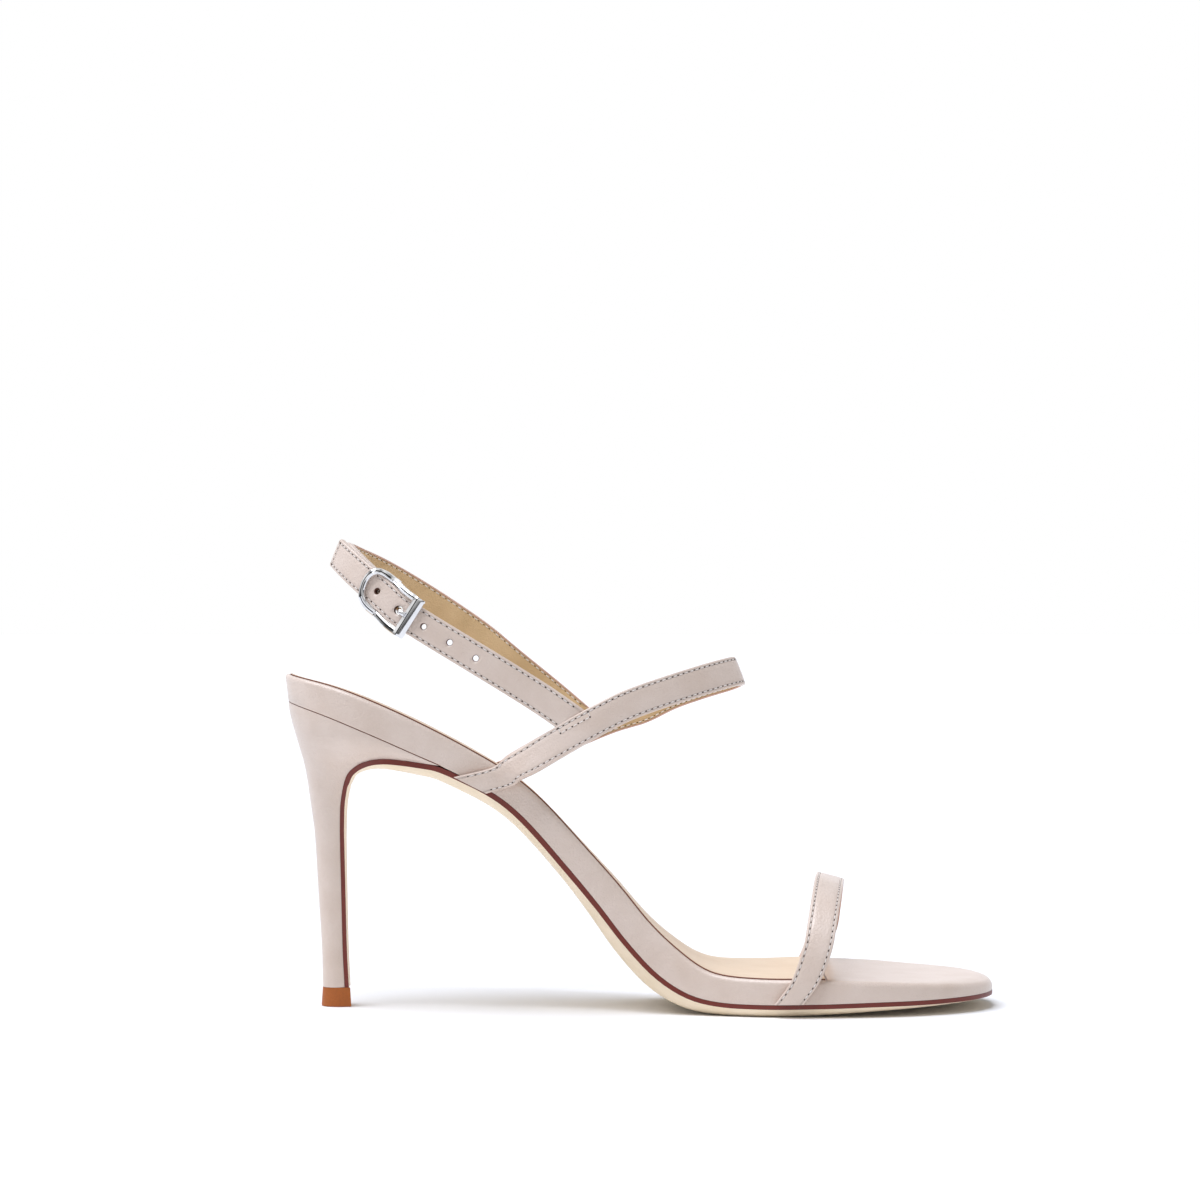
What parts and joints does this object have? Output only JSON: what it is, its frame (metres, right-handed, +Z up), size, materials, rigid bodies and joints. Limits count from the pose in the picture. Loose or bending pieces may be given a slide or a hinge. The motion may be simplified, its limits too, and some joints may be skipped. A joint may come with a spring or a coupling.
{
  "type": "strappy heeled sandal",
  "caption": "Right-foot heeled sandal with a toe strap, a rising instep strap and a buckled slingback strap on a slim covered stiletto heel.",
  "frame": {"origin": "on the floor, under the middle of the heel tip", "axes": "+X from heel to toe, +Y towards the inner side of the foot, +Z up"},
  "size_m": [0.2209, 0.0788, 0.1455],
  "materials": {
    "nude_leather": "smooth pale pinkish nude leather, soft sheen",
    "sock_leather": "smooth pale tan lining leather",
    "top_piece": "orange-brown heel tip rubber, matte",
    "outsole": "cream outsole with a dark red-brown painted edge",
    "buckle_metal": "polished silver-coloured metal"
  },
  "bodies": {
    "root": {"platform": "nude_leather", "sock": "sock_leather", "heel": "nude_leather", "top_piece": "top_piece", "outsole": "outsole", "toe_strap": "nude_leather", "upper_straps": "nude_leather", "buckle": "buckle_metal", "prong": "buckle_metal"}
  },
  "joints": []
}
